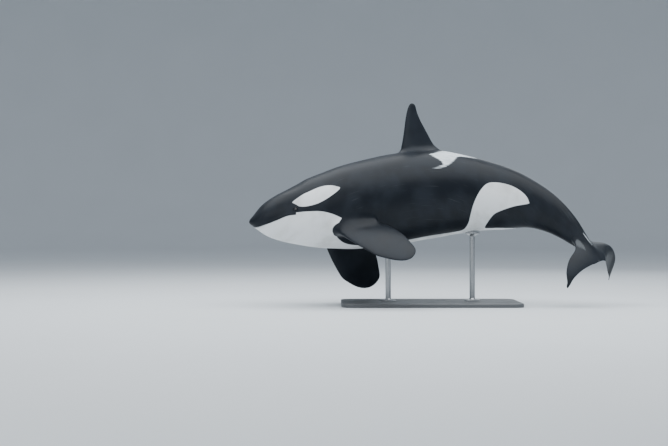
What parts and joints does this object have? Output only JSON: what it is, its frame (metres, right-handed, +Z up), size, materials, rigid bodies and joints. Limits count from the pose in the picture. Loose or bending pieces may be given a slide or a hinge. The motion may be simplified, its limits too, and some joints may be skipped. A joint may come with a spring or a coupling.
{
  "type": "orca",
  "caption": "Life-size still model of an orca arched in a slow glide, with a tall upright back fin, broad flippers and drooping flukes, held on two rods over a flat base.",
  "frame": {"origin": "the middle of the underside of the stand's base, on the floor", "axes": "+Z is up. The animal's head points to -X and its tail to +X, and its left side faces -Y, towards the picture's camera. The body arches up and bends sideways, so +X is the line from snout to flukes only on the whole."},
  "size_m": [5.9898, 2.1165, 3.2994],
  "materials": {
    "skin_black": "smooth, wet black skin with a soft shine",
    "skin_white": "smooth, wet white skin with a soft shine",
    "eye": "clear and glossy over dark brown",
    "stand_steel": "brushed steel",
    "stand_plinth": "matt grey paint"
  },
  "bodies": {
    "root": {"head": "skin_black", "lower_jaw": "skin_white", "torso": "skin_black", "tail_stock": "skin_black", "dorsal_fin": "skin_black", "flipper_left": "skin_black", "flipper_right": "skin_black", "fluke_left": "skin_black", "fluke_right": "skin_black", "eye_left": "eye", "eye_right": "eye", "stand_base": "stand_plinth", "stand_rod_front": "stand_steel", "stand_rod_rear": "stand_steel"}
  },
  "joints": []
}
